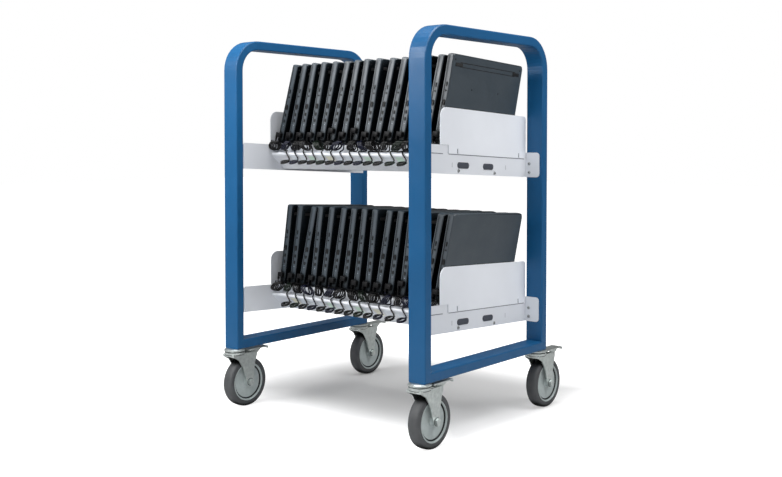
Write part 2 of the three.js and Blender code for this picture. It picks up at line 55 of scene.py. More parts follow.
# The camera stands off the cart's front right corner at about the height of the upper tray,
# tipped down a little, as the photograph was taken. The image is 782 by 477 pixels.
IMAGE_WIDTH = 782
FOCAL_PIXELS = 1033.3
SENSOR_WIDTH = 36.0
CAMERA_PLACE = (1.8437, -2.2444, 0.7417)
CAMERA_DIP = 1.697
CAMERA_TURN = 39.59
CAMERA_SHIFT = -0.0829
camera_data = bpy.data.cameras.new("photo_camera")
camera_data.sensor_width = SENSOR_WIDTH
camera_data.lens = FOCAL_PIXELS / IMAGE_WIDTH * SENSOR_WIDTH
camera_data.shift_y = CAMERA_SHIFT
camera = bpy.data.objects.new("photo_camera", camera_data)
camera.location = CAMERA_PLACE
camera.rotation_euler = (math.radians(90 - CAMERA_DIP), 0, math.radians(CAMERA_TURN))
scene.collection.objects.link(camera)
scene.camera = camera


# The two trays slope down to the back. Each carries fifteen notebooks on edge, one to a slot,
# so every place on a shelf is given from its ledge: across, back from its middle, and up.
SKIRT_HEIGHT = 0.050
TRAY_TILT = math.radians(2.7)
SLOTS = 15
SHELVES = ("upper", "lower")
NOTEBOOKS = {shelf: [f"{shelf}_notebook_{i + 1:02d}" for i in range(SLOTS)] for shelf in SHELVES}
TRAY_BOX = {shelf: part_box(f"{shelf}_tray") for shelf in SHELVES}
RACK_BOX = {shelf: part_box(f"{shelf}_divider_rack") for shelf in SHELVES}


def on_shelf(shelf, across, back, up):
    low, high = TRAY_BOX[shelf]
    ledge = low.z + SKIRT_HEIGHT + math.tan(TRAY_TILT) * (high.y - low.y) / 2
    return Vector((across, (low.y + high.y) / 2 + back, ledge + up - math.tan(TRAY_TILT) * back))


def slot_middle(shelf, slot):
    low, high = RACK_BOX[shelf]
    return low.x + (high.x - low.x) * (slot + 0.5) / SLOTS


class Stance:
    """Where a notebook stands in its slot: its middle, and unit vectors back, up and out of its base."""

    def __init__(self, node):
        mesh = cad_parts[node].data
        cover = max(mesh.polygons, key=lambda face: face.area).normal
        self.out = cover.copy() if cover.x > 0 else -cover
        self.back = Vector((0, math.cos(TRAY_TILT), -math.sin(TRAY_TILT)))
        self.up = self.out.cross(self.back)
        corners = np.array([v.co for v in mesh.vertices])
        spread = corners @ np.array([self.back, self.up, self.out]).T
        self.length, self.depth, self.thick = spread.max(0) - spread.min(0)
        centre = (spread.max(0) + spread.min(0)) / 2
        self.middle = self.back * centre[0] + self.up * centre[1] + self.out * centre[2]

    def place(self, back, up, out):
        return self.middle + self.back * back + self.up * up + self.out * out

    def matrix(self, back=0.0, up=0.0, out=0.0):
        turn = Matrix((self.out, self.back, self.up)).transposed().to_4x4()
        return Matrix.Translation(self.place(back, up, out)) @ turn


STANCE = {node: Stance(node) for shelf in SHELVES for node in NOTEBOOKS[shelf]}


# Thirty charging leads in dark jacketed cable. Each leaves the raked lip in a drooping ring, passes
# under its hank, is wound and tied there on the ledge, and rises into a moulded right-angle plug.
# Route points are millimetres: across from where the lead crosses the lip, back and up from the ledge.
MM = 0.001
LEAD_DIAMETER = 4.0
LIP_FIRST = -243.0
LIP_PITCH = 34.0
LIP_MOST_LEFT = -23.0
LIP_OUT = ((0.4, -125.2, -24.2), (-1.6, -136.0, -25.2), (-3.0, -146.5, -27.2))
LIP_UP = (
    (20.6, -151.4, -20.8),
    (17.4, -149.0, -16.4),
    (12.6, -148.0, -12.6),
    (8.0, -148.0, -7.6),
    (4.2, -148.2, -2.6),
    (1.0, -146.4, 2.8),
)
RING_MIDDLE = (8.8, -157.0, -25.4)
RING_RADIUS = 12.6
RING_DROOP = 0.32
RING_TURNS = 1.5
RING_POINTS = 8
RING_PITCH = 4.6
SHORT_RUN = 16.0
UNDERPASS_BACK = -127.6
EVEN_STEP = 3.0
EASING = 6
HANK_RADIUS = 10.4
HANK_LOOSE = 2.6
HANK_PITCH = 5.6
HANK_BACK = -145.0
HANK_UP = 18.4
HANK_SLANT = 0.8
SLANT_STEP = 1.3
HANK_YAW = 0.35
YAW_STEP = 2.1
HANK_WIDTHS = (23.0, 17.5, 23.0, 17.5, 23.0, 17.5, 17.5)
TURN_POINTS = 16
TIE_SLACK = 1.6
TIE_WIDE = 0.0045
TIE_THICK = 0.0006
TIE_LIFT = 0.0003
PLUG_UP = {"upper": 0.023, "lower": 0.026}
PLUG_LIFTS = {"upper": {5: 0.011, 7: 0.011}, "lower": {6: 0.008, 11: 0.012}}
PLUG_TALL = 0.0125
PLUG_WIDE = 0.0155
PLUG_PROUD = 0.0105
RELIEF_LENGTH = 0.009
RELIEF_RISE = 0.0045
RELIEF_RIB = ((0.0020, -0.0007), (0.0033, -0.0005), (0.0033, 0.0005), (0.0020, 0.0007))
RIB_FIRST = 0.0020
RIB_PITCH = 0.0024
RIBS = 3
PLUG_STEPS = 12
LEAD_SIDE = -0.0095
CURVE_STEPS = 3
WINDING_SEED = 11
FOLD_ANGLE = 35.0
JACKETS = {
    "black": (0.0042, 0.0043, 0.0047),
    "navy": (0.0046, 0.0064, 0.0190),
    "green": (0.0040, 0.0100, 0.0056),
}
JACKET_ORDER = ("black", "navy", "black", "black", "green", "black", "navy")


def finish_of(name, colour, roughness, metallic=0.0):
    finish = bpy.data.materials.new(name)
    finish.use_nodes = True
    shader = finish.node_tree.nodes["Principled BSDF"]
    shader.inputs["Base Color"].default_value = (*colour, 1)
    shader.inputs["Roughness"].default_value = roughness
    shader.inputs["Metallic"].default_value = metallic
    return finish, shader


def noise_on(finish, scale, detail=3.0, stretch=(1, 1, 1)):
    """A noise fixed to the piece, with its scale in cells a metre."""
    tree = finish.node_tree
    place = tree.nodes.new("ShaderNodeTexCoord")
    sizes = tree.nodes.new("ShaderNodeMapping")
    sizes.inputs["Scale"].default_value = stretch
    noise = tree.nodes.new("ShaderNodeTexNoise")
    noise.inputs["Scale"].default_value = scale
    noise.inputs["Detail"].default_value = detail
    tree.links.new(place.outputs["Object"], sizes.inputs["Vector"])
    tree.links.new(sizes.outputs["Vector"], noise.inputs["Vector"])
    return noise.outputs["Fac"]


def grain(finish, shader, height, depth):
    """Fine relief on a surface, depth in metres."""
    bump = finish.node_tree.nodes.new("ShaderNodeBump")
    bump.inputs["Distance"].default_value = depth
    bump.inputs["Strength"].default_value = 1.0
    finish.node_tree.links.new(height, bump.inputs["Height"])
    finish.node_tree.links.new(bump.outputs["Normal"], shader.inputs["Normal"])


def vary(finish, value, socket, stops):
    """Drives a shader socket by a noise through a colour ramp of (place, colour) stops."""
    ramp = finish.node_tree.nodes.new("ShaderNodeValToRGB")
    while len(ramp.color_ramp.elements) < len(stops):
        ramp.color_ramp.elements.new(0.5)
    for element, (place, colour) in zip(ramp.color_ramp.elements, stops):
        element.position = place
        element.color = (*colour, 1)
    finish.node_tree.links.new(value, ramp.inputs["Fac"])
    finish.node_tree.links.new(ramp.outputs["Color"], socket)


def jacket(name, colour):
    finish, shader = finish_of(f"lead_jacket_{name}", colour, 0.26)
    shader.inputs["Specular IOR Level"].default_value = 0.34
    grain(finish, shader, noise_on(finish, 900), 0.00008)
    return finish


JACKET = {name: jacket(name, colour) for name, colour in JACKETS.items()}


def smooth_line(knots):
    """Points of a Catmull-Rom curve through the knots."""
    ends = [knots[0] * 2 - knots[1], *knots, knots[-1] * 2 - knots[-2]]
    line = [knots[0]]
    for a, b, c, d in zip(ends, ends[1:], ends[2:], ends[3:]):
        for step in range(1, CURVE_STEPS + 1):
            t = step / CURVE_STEPS
            bend = (a * 2 - b * 5 + c * 4 - d) * t**2 + (b * 3 - a - c * 3 + d) * t**3
            line.append((b * 2 + (c - a) * t + bend) / 2)
    return line


def hank_turns(right, left, slant, yaw, draw):
    """The wound stretch from its right-hand end to its left, rising at the back at both ends.
    Its turns are a little loose, lean over and sit askew, as hand-wound leads do."""
    turns = max(2, int((right - left) / HANK_PITCH))
    loose = [0, *(draw.uniform(0, HANK_LOOSE) for _ in range(turns - 1)), 0, 0]
    count = turns * TURN_POINTS
    for k in range(count + 1):
        turn, part = divmod(k / TURN_POINTS, 1)
        radius = HANK_RADIUS + loose[int(turn)] * (1 - part) + loose[int(turn) + 1] * part
        out, rise = radius * math.cos(2 * math.pi * part), radius * math.sin(2 * math.pi * part)
        along = right + (left - right) * k / count
        yield along + slant * rise + yaw * (out - HANK_RADIUS), HANK_BACK + out, HANK_UP + rise


def lip_ring():
    """The drooping ring in front of the lip, a turn and a half that ends above where it began."""
    count = int(RING_TURNS * RING_POINTS)
    for k in range(count + 1):
        angle = math.pi + RING_TURNS * 2 * math.pi * k / count
        out = RING_RADIUS * math.sin(angle)
        lower = RING_PITCH * max(0, 1 - k / RING_POINTS)
        across, back, up = RING_MIDDLE
        yield across + RING_RADIUS * math.cos(angle), back + out, up + RING_DROOP * out - lower


LIP_RUN = (*LIP_OUT, *lip_ring(), *LIP_UP)


def under_hank(lip, right):
    """From the lip's edge back and along under the hank, then up to where the winding starts."""
    run = right - lip
    if abs(run) < SHORT_RUN:
        return [
            (lip + run * 0.2, -141.0, 4.2),
            (lip + run * 0.6, -135.0, 5.6),
            (lip + run * 0.88, HANK_BACK + 12.6, 10.6),
        ]
    if run > 0:
        turn = [(lip - 1.0, -142.6, 4.6), (lip - 0.4, -136.6, 4.8), (lip + 3.2, -131.0, 4.4)]
    else:
        turn = [(lip - 0.4, -142.0, 4.6), (lip - 2.4, -136.4, 4.6), (lip - 6.0, -131.2, 4.2)]
    way = math.copysign(1, run)
    return [
        *turn,
        (lip + way * 9.4, UNDERPASS_BACK - 0.4, 3.8),
        (right - way * 7.0, UNDERPASS_BACK, 4.2),
        (right - way * 2.2, UNDERPASS_BACK - 1.6, 7.0),
        (right - way * 0.2, HANK_BACK + 12.4, 11.8),
    ]


def eased(knots):
    """Even steps along a line through the knots, relaxed as a limp cable's bends are."""
    line = np.array(smooth_line(knots))
    run = np.concatenate([[0], np.cumsum(np.linalg.norm(np.diff(line, axis=0), axis=1))])
    steps = np.linspace(0, run[-1], int(run[-1] / (EVEN_STEP * MM)) + 1)
    line = np.stack([np.interp(steps, run, line[:, k]) for k in range(3)], axis=1)
    for _ in range(EASING):
        line[2:-2] += (line[1:-3] + line[3:-1] - 2 * line[2:-2]) / 4
    return [Vector(place) for place in line]


def lead_route(shelf, middle, hank, lip, plug_end, up):
    """A lead's whole route, from behind the lip through its hank to the end of the plug's relief."""

    def placed(points, shift=0.0):
        return [on_shelf(shelf, (middle + x + shift) * MM, y * MM, z * MM) for x, y, z in points]

    first = eased(placed(LIP_RUN, lip) + placed(under_hank(lip, hank[0][0])) + placed(hank[:3]))
    rise = [placed(hank[-1:])[0], plug_end - up * RELIEF_RISE, plug_end]
    return first + placed(hank[3:]) + smooth_line(rise)[1:]


def lead_curve(name, route, finish):
    data = bpy.data.curves.new(name, "CURVE")
    data.dimensions = "3D"
    data.bevel_depth = LEAD_DIAMETER / 2 * MM
    data.bevel_resolution = 2
    data.use_fill_caps = True
    spline = data.splines.new("POLY")
    spline.points.add(len(route) - 1)
    for point, place in zip(spline.points, route):
        point.co = (*place, 1)
    spline.use_smooth = True
    data.materials.append(finish)
    lead = bpy.data.objects.new(name, data)
    scene.collection.objects.link(lead)
    return lead


def piece_of(name, mesh, *finishes):
    """Links a mesh as a piece of the cart, with its finishes."""
    for finish in finishes:
        if finish.name not in mesh.materials:
            mesh.materials.append(finish)
    piece = bpy.data.objects.new(name, mesh)
    scene.collection.objects.link(piece)
    return piece


def mesh_of(name, shape, smooth=True):
    mesh = bpy.data.meshes.new(name)
    bmesh.ops.recalc_face_normals(shape, faces=shape.faces)
    shape.to_mesh(mesh)
    shape.free()
    for face in mesh.polygons:
        face.use_smooth = smooth
    if smooth:
        mesh.set_sharp_from_angle(angle=math.radians(FOLD_ANGLE))
    return mesh


def rounded_block(size, rounding, shape=None, at=(0, 0, 0), segments=2):
    """A box with rounded edges, added to a shape; size and place are X, Y, Z."""
    shape = shape or bmesh.new()
    made = bmesh.ops.create_cube(shape, size=1, matrix=Matrix.Translation(at) @ Matrix.Diagonal((*size, 1)))
    edges = {edge for vert in made["verts"] for edge in vert.link_edges}
    bmesh.ops.bevel(shape, geom=list(edges), offset=rounding, segments=segments, affect="EDGES", profile=0.5)
    return shape


def turned_ring(shape, profile, steps, matrix=Matrix()):
    """A turned body about Z from [radius, height] points, added to a shape."""
    rings = []
    for radius, height in profile:
        if radius == 0:
            rings.append([shape.verts.new(matrix @ Vector((0, 0, height)))])
            continue
        angles = [2 * math.pi * k / steps for k in range(steps)]
        places = [Vector((radius * math.cos(a), radius * math.sin(a), height)) for a in angles]
        rings.append([shape.verts.new(matrix @ place) for place in places])
    for ring, after in zip(rings, rings[1:]):
        for k in range(steps):
            one, two = (k % len(ring), (k + 1) % len(ring)), (k % len(after), (k + 1) % len(after))
            corners = [ring[one[0]], ring[one[1]], after[two[1]], after[two[0]]]
            shape.faces.new(list(dict.fromkeys(corners)))
    return shape


def closed(profile):
    """A profile whose last point is its first, for a body with a bore."""
    return [*profile, profile[0]]


def plug_mesh():
    """The moulded right-angle plug, with its ribbed strain relief hanging from a knuckle on its left."""
    shape = rounded_block((PLUG_WIDE, PLUG_PROUD, PLUG_TALL), 0.0022)
    low = -PLUG_TALL / 2 - RELIEF_LENGTH
    relief = [
        (0, low), (0.0024, low), (0.0029, low + 0.007), (0.0034, low + 0.010),
        (0.0034, 0.0040), (0.0022, 0.0056), (0, 0.0056),
    ]
    turned_ring(shape, relief, PLUG_STEPS, Matrix.Translation((LEAD_SIDE, 0, 0)))
    for k in range(RIBS):
        rib_place = Matrix.Translation((LEAD_SIDE, 0, low + RIB_FIRST + RIB_PITCH * k))
        turned_ring(shape, closed(RELIEF_RIB), PLUG_STEPS, rib_place)
    return mesh_of("lead_plug", shape)


def tie_mesh(name, across):
    """A thin strap round the top of a hank: a flat band, closed on itself."""
    tall = (LEAD_DIAMETER + HANK_LOOSE) / 2 * MM + TIE_LIFT
    shape = bmesh.new()
    loops = []
    for y in (-TIE_WIDE / 2, TIE_WIDE / 2):
        for grow in (0, TIE_THICK):
            x, z = across / 2 + grow, tall + grow
            corners = ((-x, y, -z), (x, y, -z), (x, y, z), (-x, y, z))
            loops.append([shape.verts.new(corner) for corner in corners])
    near_in, near_out, far_in, far_out = loops
    for one, two in ((near_in, near_out), (near_out, far_out), (far_out, far_in), (far_in, near_in)):
        for k in range(4):
            shape.faces.new((one[k], one[(k + 1) % 4], two[(k + 1) % 4], two[k]))
    return mesh_of(name, shape, smooth=False)


plug_finish, plug_shader = finish_of("plug_moulding", (0.0045, 0.0047, 0.0055), 0.5)
plug_shader.inputs["Specular IOR Level"].default_value = 0.22
grain(plug_finish, plug_shader, noise_on(plug_finish, 1400), 0.00006)
tie_finish, tie_shader = finish_of("woven_tie", (0.0050, 0.0050, 0.0055), 0.85)
tie_shader.inputs["Specular IOR Level"].default_value = 0.15
grain(tie_finish, tie_shader, noise_on(tie_finish, 2200), 0.0002)
lead_plug = plug_mesh()
draw = random.Random(WINDING_SEED)

for shelf in SHELVES:
    for slot, node in enumerate(NOTEBOOKS[shelf]):
        stance = STANCE[node]
        plug_up = -stance.depth / 2 + PLUG_UP[shelf] + PLUG_LIFTS[shelf].get(slot, 0)
        plug_back = -stance.length / 2 - PLUG_PROUD / 2
        plug_end = stance.place(plug_back, plug_up - PLUG_TALL / 2 - RELIEF_LENGTH, LEAD_SIDE)
        middle = slot_middle(shelf, slot) / MM
        lip = max(LIP_FIRST + LIP_PITCH * slot - middle, LIP_MOST_LEFT)
        left = plug_end.x / MM - middle
        wound = HANK_WIDTHS[(slot + (shelf == "lower") * 2) % len(HANK_WIDTHS)]
        slant = HANK_SLANT * math.sin(SLANT_STEP * slot + (shelf == "lower"))
        yaw = HANK_YAW * math.cos(YAW_STEP * slot)
        hank = list(hank_turns(left + wound, left, slant, yaw, draw))
        route = lead_route(shelf, middle, hank, lip, plug_end, stance.up)
        name = f"{shelf}_lead_{slot + 1:02d}"
        shade = JACKET_ORDER[(slot + (shelf == "lower") * 3) % len(JACKET_ORDER)]
        lead = lead_curve(name, route, JACKET[shade])
        plug = piece_of(f"{name}_plug", lead_plug, plug_finish)
        plug.matrix_world = stance.matrix(plug_back, plug_up)
        strap = tie_mesh(f"{name}_tie", (wound + LEAD_DIAMETER + TIE_SLACK) * MM)
        tie = piece_of(f"{name}_tie", strap, tie_finish)
        across = middle + left + wound / 2 + (slant - yaw) * HANK_RADIUS
        top = HANK_UP + HANK_RADIUS + HANK_LOOSE / 2
        tie.location = on_shelf(shelf, across * MM, HANK_BACK * MM, top * MM)
        for part in (lead, plug, tie):
            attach(part, "cart")
        length = sum((b - a).length for a, b in zip(route, route[1:]))
        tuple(route[0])


# Four swivel casters: zinc-plated pressed steel races, forks and brake pedals, and a moulded
# grey wheel with a softer tread round a hub. The axle bolt is part of the fork.
CASTERS = [f"{row}_{end}" for row in ("front", "rear") for end in ("left", "right")]
WHEEL_STEPS = 72
WASHER_STEPS = 32
TREAD_PROFILE = (
    (0.0530, -0.0150), (0.0545, -0.0162), (0.0605, -0.0165), (0.0645, -0.0156), (0.0672, -0.0132),
    (0.0685, -0.0095), (0.0690, -0.0050),
)
RACE_GAP_SHADE_PROFILE = ((0.0250, -0.0013), (0.0274, -0.0013), (0.0274, -0.0001), (0.0250, -0.0001))
RACE_DROPS = (0.0, 0.0082)
NUT_HEIGHT = 0.007
WASHER_PROFILE = ((0.0050, -0.0004), (0.0110, -0.0004), (0.0110, 0.0009), (0.0050, 0.0012))
HUB_PROFILE = (
    (0.0054, -0.0192), (0.0105, -0.0192), (0.0112, -0.0186), (0.0116, -0.0125), (0.0132, -0.0108),
    (0.0445, -0.0104), (0.0458, -0.0086), (0.0474, -0.0086), (0.0484, -0.0128), (0.0496, -0.0156),
    (0.0520, -0.0162), (0.0531, -0.0150),
)
HUB_GROOVE_SHADE = (0.0450, 0.0480)


def mirrored(profile):
    """A turned profile closed on itself, alike on both sides of the wheel."""
    return closed([*profile, *((radius, -height) for radius, height in reversed(profile))])


def shade_by_angle(node, angle=32.0):
    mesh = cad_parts[node].data
    for face in mesh.polygons:
        face.use_smooth = True
    mesh.set_sharp_from_angle(angle=math.radians(angle))


def soften(node, width, angle=32.0):
    """Breaks a CAD piece's sharp edges, as a press or a mould leaves them."""
    shade_by_angle(node, angle)
    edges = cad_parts[node].modifiers.new("broken_edges", "BEVEL")
    edges.width = width
    edges.segments = 2
    edges.limit_method = "ANGLE"
    edges.angle_limit = math.radians(angle)
    edges.harden_normals = True


def dress(node, finish):
    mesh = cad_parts[node].data
    mesh.materials.clear()
    mesh.materials.append(finish)


def shade_gaps(finish, shader, reach, closed, clear, least):
    """Paints shade into a finish deep in a gap, where its surroundings are nearer than the reach, and lowers
    its specular level with the same shade.
    """
    tree = finish.node_tree
    shade = tree.nodes.new("ShaderNodeAmbientOcclusion")
    shade.inputs["Distance"].default_value = reach
    shade.samples = 8
    depth = tree.nodes.new("ShaderNodeMapRange")
    depth.inputs["From Min"].default_value = closed
    depth.inputs["From Max"].default_value = clear
    depth.inputs["To Min"].default_value = least
    tint = tree.nodes.new("ShaderNodeMix")
    tint.data_type = "RGBA"
    tint.blend_type = "MULTIPLY"
    tint.inputs["Factor"].default_value = 1.0
    paint = shader.inputs["Base Color"].links[0].from_socket
    tree.links.new(shade.outputs["AO"], depth.inputs["Value"])
    tree.links.new(paint, tint.inputs["A"])
    tree.links.new(depth.outputs["Result"], tint.inputs["B"])
    tree.links.new(tint.outputs["Result"], shader.inputs["Base Color"])
    tree.links.new(depth.outputs["Result"], shader.inputs["Specular IOR Level"])


zinc_finish, zinc_shader = finish_of("zinc_plate", (0.40, 0.42, 0.41), 0.36, 0.85)
spangle = noise_on(zinc_finish, 130, 4)
vary(
    zinc_finish, spangle, zinc_shader.inputs["Base Color"],
    [(0.3, (0.49, 0.53, 0.52)), (0.7, (0.63, 0.675, 0.66))],
)
vary(
    zinc_finish, noise_on(zinc_finish, 60), zinc_shader.inputs["Roughness"],
    [(0.3, (0.28,) * 3), (0.75, (0.46,) * 3)],
)
grain(zinc_finish, zinc_shader, noise_on(zinc_finish, 420), 0.00008)
tread_finish, tread_shader = finish_of("wheel_tread", (0.075, 0.078, 0.082), 0.62)
vary(
    tread_finish, noise_on(tread_finish, 45, 5), tread_shader.inputs["Base Color"],
    [(0.32, (0.035, 0.038, 0.042)), (0.72, (0.052, 0.056, 0.061))],
)
grain(tread_finish, tread_shader, noise_on(tread_finish, 700), 0.0001)
# Painted shade on the tread where the fork's crown and the floor come close to it.
shade_gaps(tread_finish, tread_shader, 0.035, 0.40, 0.80, 0.10)
hub_finish, hub_shader = finish_of("wheel_hub", (0.45, 0.51, 0.51), 0.48)
vary(
    hub_finish, noise_on(hub_finish, 70, 4), hub_shader.inputs["Base Color"],
    [(0.3, (0.40, 0.455, 0.455)), (0.7, (0.49, 0.55, 0.548))],
)
grain(hub_finish, hub_shader, noise_on(hub_finish, 900), 0.00005)
tread_mesh = mesh_of("wheel_tread", turned_ring(bmesh.new(), mirrored(TREAD_PROFILE), WHEEL_STEPS))
hub_mesh = mesh_of("wheel_hub", turned_ring(bmesh.new(), mirrored(HUB_PROFILE), WHEEL_STEPS))
# The faces in the hub's groove take a near-black finish, painted shade in the groove.
for face in hub_mesh.polygons:
    face.material_index = int(HUB_GROOVE_SHADE[0] < face.center.xy.length < HUB_GROOVE_SHADE[1])
groove_shade_finish, _ = finish_of("hub_groove_shade", (0.030, 0.034, 0.036), 0.7)
gap_shade_mesh = mesh_of("race_gap_shade", turned_ring(bmesh.new(), closed(RACE_GAP_SHADE_PROFILE), WHEEL_STEPS))
washer_mesh = mesh_of("axle_washer", turned_ring(bmesh.new(), closed(WASHER_PROFILE), WASHER_STEPS))
washer_finish, _ = finish_of("axle_washer", (0.20, 0.22, 0.22), 0.45, 0.8)

for caster in CASTERS:
    low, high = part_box(f"{caster}_wheel")
    axle = Matrix.Translation((low + high) / 2) @ Matrix.Rotation(math.pi / 2, 4, "Y")
    tread = piece_of(f"{caster}_tread", tread_mesh, tread_finish)
    hub = piece_of(f"{caster}_hub", hub_mesh, hub_finish, groove_shade_finish)
    for part in (tread, hub):
        part.matrix_world = axle
        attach(part, f"{caster}_rolling_wheel")
    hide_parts(f"{caster}_wheel")
    low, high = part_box(f"{caster}_swivel_head")
    # Two thin near-black rings at the swivel head paint the shade in the gaps between its races.
    for k, drop in enumerate(RACE_DROPS):
        gap_shade = piece_of(f"{caster}_race_gap_shade_{k + 1}", gap_shade_mesh, groove_shade_finish)
        gap_shade.location = ((low.x + high.x) / 2, (low.y + high.y) / 2, low.z - drop)
        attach(gap_shade, f"{caster}_caster")
    low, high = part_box(f"{caster}_fork")
    for end, side, reach in (("left", -1, low.x + NUT_HEIGHT), ("right", 1, high.x - NUT_HEIGHT)):
        washer = piece_of(f"{caster}_axle_washer_{end}", washer_mesh, washer_finish)
        place = Matrix.Translation((reach, axle.translation.y, axle.translation.z))
        washer.matrix_world = place @ Matrix.Rotation(side * math.pi / 2, 4, "Y")
        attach(washer, f"{caster}_caster")
    for piece, width in (("swivel_head", 0.0008), ("fork", 0.0008), ("brake_pedal", 0.0007)):
        dress(f"{caster}_{piece}", zinc_finish)
        soften(f"{caster}_{piece}", width)


# Two end frames of rectangular steel tube, bent at the top and welded square at the bottom,
# in satin blue powder coat with its slight orange peel.
blue_finish, blue_shader = finish_of("blue_powder_coat", (0.0094, 0.092, 0.233), 0.38)
blue_shader.inputs["Specular IOR Level"].default_value = 0.3
vary(
    blue_finish, noise_on(blue_finish, 9, 3), blue_shader.inputs["Base Color"],
    [(0.3, (0.0088, 0.088, 0.222)), (0.7, (0.0100, 0.097, 0.244))],
)
vary(
    blue_finish, noise_on(blue_finish, 25), blue_shader.inputs["Roughness"],
    [(0.3, (0.30,) * 3), (0.7, (0.40,) * 3)],
)
grain(blue_finish, blue_shader, noise_on(blue_finish, 420, 2), 0.00012)
for end in ("left", "right"):
    dress(f"{end}_end_frame", blue_finish)
    shade_by_angle(f"{end}_end_frame")


# Two trays and four end plates bent from sheet steel, in light grey powder coat. The trays are
# screwed to the posts through their tabs, and oval plugs close the holes in their end skirts.
SHEET_TINT = (1, 1.035, 1.10)


def powder_coat(name, level):
    """A fine-grained pale powder coat, a little bluish, at a level of grey."""
    dark, pale = ([level * shade * tint for tint in SHEET_TINT] for shade in (0.97, 1.03))
    finish, shader = finish_of(name, [level * tint for tint in SHEET_TINT], 0.42)
    vary(finish, noise_on(finish, 7, 3), shader.inputs["Base Color"], [(0.3, dark), (0.7, pale)])
    grain(finish, shader, noise_on(finish, 520, 2), 0.0001)
    return finish


# One coat at three levels: the left end plates darker than the trays, as painted shade, and the right end
# plates lighter, as painted light.
SHEET_FINISH = {
    "tray": powder_coat("tray_powder_coat", 0.76),
    "left_end_plate": powder_coat("left_plate_shaded_powder_coat", 0.62),
    "right_end_plate": powder_coat("right_plate_lit_powder_coat", 0.84),
}
for shelf in SHELVES:
    for piece, finish in SHEET_FINISH.items():
        dress(f"{shelf}_{piece}", finish)
        soften(f"{shelf}_{piece}", 0.0005)

SKIRT_FACE = 0.302
TAB_INSIDE = 0.2487
TAB_SCREW_ACROSS = 0.313
TAB_SCREW_DROPS = (0.013, 0.037)
PLUG_PLACES = ((-0.0495, 0.051), (0.063, 0.048))
PLUG_DROP = 0.027
PLUG_HEIGHT = 0.016
SKIRT_SCREWS = ((-0.070, -0.041), (0.093, -0.043))
SKIRT_SLITS = (-0.097, 0.147)
SLIT_SHADOW_SIZE = (0.0004, 0.0016, 0.012)
SEAM_SHADOWS = ((-0.184, 0.096), (0.065, 0.352))
SEAM_SHADOW_HEIGHT = 0.0022
SEAM_SHADOW_LIFT = 0.001
HOOK_SHADOWS = (-0.0762, 0.2088)
HOOK_SHADOW_SIZE = (0.0004, 0.0022, 0.012)
HOOK_SHADOW_UP = 0.0085
HOOK_PROUD = 0.002
OVAL_RINGS = ((0, -0.0006), (0, 0.0009), (0.0012, 0.0016), (0.0045, 0.0018))
OVAL_POINTS = 32
OVAL_PLAY = 0.0002
SCREW_HEAD = ((0, 0), (0.0045, 0), (0.0045, 0.0009), (0.0038, 0.0019), (0.0024, 0.0023), (0, 0.0024))
SOCKET_SHADE = ((0, 0.0022), (0.0019, 0.0022), (0.0019, 0.00255), (0, 0.00255))


def screw_mesh():
    """A pan-head screw whose hexagon socket is a dark disc on its head, painted shade."""
    shape = turned_ring(bmesh.new(), SCREW_HEAD, 20)
    dark = len(shape.faces)
    turned_ring(shape, SOCKET_SHADE, 6)
    shape.faces.ensure_lookup_table()
    for face in list(shape.faces)[dark:]:
        face.material_index = 1
    return mesh_of("pan_head_screw", shape)


def oval_plug(name, length):
    """A pressed-in plastic plug with round ends and a low domed face."""
    shape = bmesh.new()
    rings = []
    for inset, rise in OVAL_RINGS:
        radius = PLUG_HEIGHT / 2 - OVAL_PLAY - inset
        ring = []
        for k in range(OVAL_POINTS):
            angle = 2 * math.pi * (k + 0.5) / OVAL_POINTS
            shift = math.copysign((length - PLUG_HEIGHT) / 2, math.cos(angle))
            ring.append(shape.verts.new((rise, shift + radius * math.cos(angle), radius * math.sin(angle))))
        rings.append(ring)
    for one, two in zip(rings, rings[1:]):
        for k in range(OVAL_POINTS):
            after = (k + 1) % OVAL_POINTS
            shape.faces.new((one[k], one[after], two[after], two[k]))
    shape.faces.new(rings[0])
    shape.faces.new(rings[-1])
    return mesh_of(name, shape)


socket_shade_finish, _ = finish_of("socket_shadow", (0.02, 0.02, 0.022), 0.6)
screw_zinc, _ = finish_of("screw_zinc", (0.42, 0.44, 0.44), 0.38, 0.8)
oval_finish, oval_shader = finish_of("oval_plug_plastic", (0.055, 0.062, 0.080), 0.55)
grain(oval_finish, oval_shader, noise_on(oval_finish, 800), 0.0001)
slit_shadow_finish, _ = finish_of("slit_shadow", (0.36, 0.38, 0.42), 0.6)
seam_shadow_finish, _ = finish_of("seam_shadow", (0.20, 0.21, 0.24), 0.7)
slit_shadow_mesh = mesh_of("skirt_slit_shadow", rounded_block(SLIT_SHADOW_SIZE, 0.0001, segments=1), smooth=False)
hook_shadow_mesh = mesh_of("hook_shadow", rounded_block(HOOK_SHADOW_SIZE, 0.00015, segments=1), smooth=False)
seam_shadow_meshes = []
for k, (_, length) in enumerate(SEAM_SHADOWS):
    bar = rounded_block((0.0004, length, SEAM_SHADOW_HEIGHT), 0.0001, segments=1)
    bmesh.ops.rotate(bar, verts=bar.verts, matrix=Matrix.Rotation(-TRAY_TILT, 3, "X"))
    seam_shadow_meshes.append(mesh_of(f"plate_seam_{k}", bar, smooth=False))
screw = screw_mesh()
oval_meshes = [oval_plug(f"oval_plug_{k}", length) for k, (_, length) in enumerate(PLUG_PLACES)]

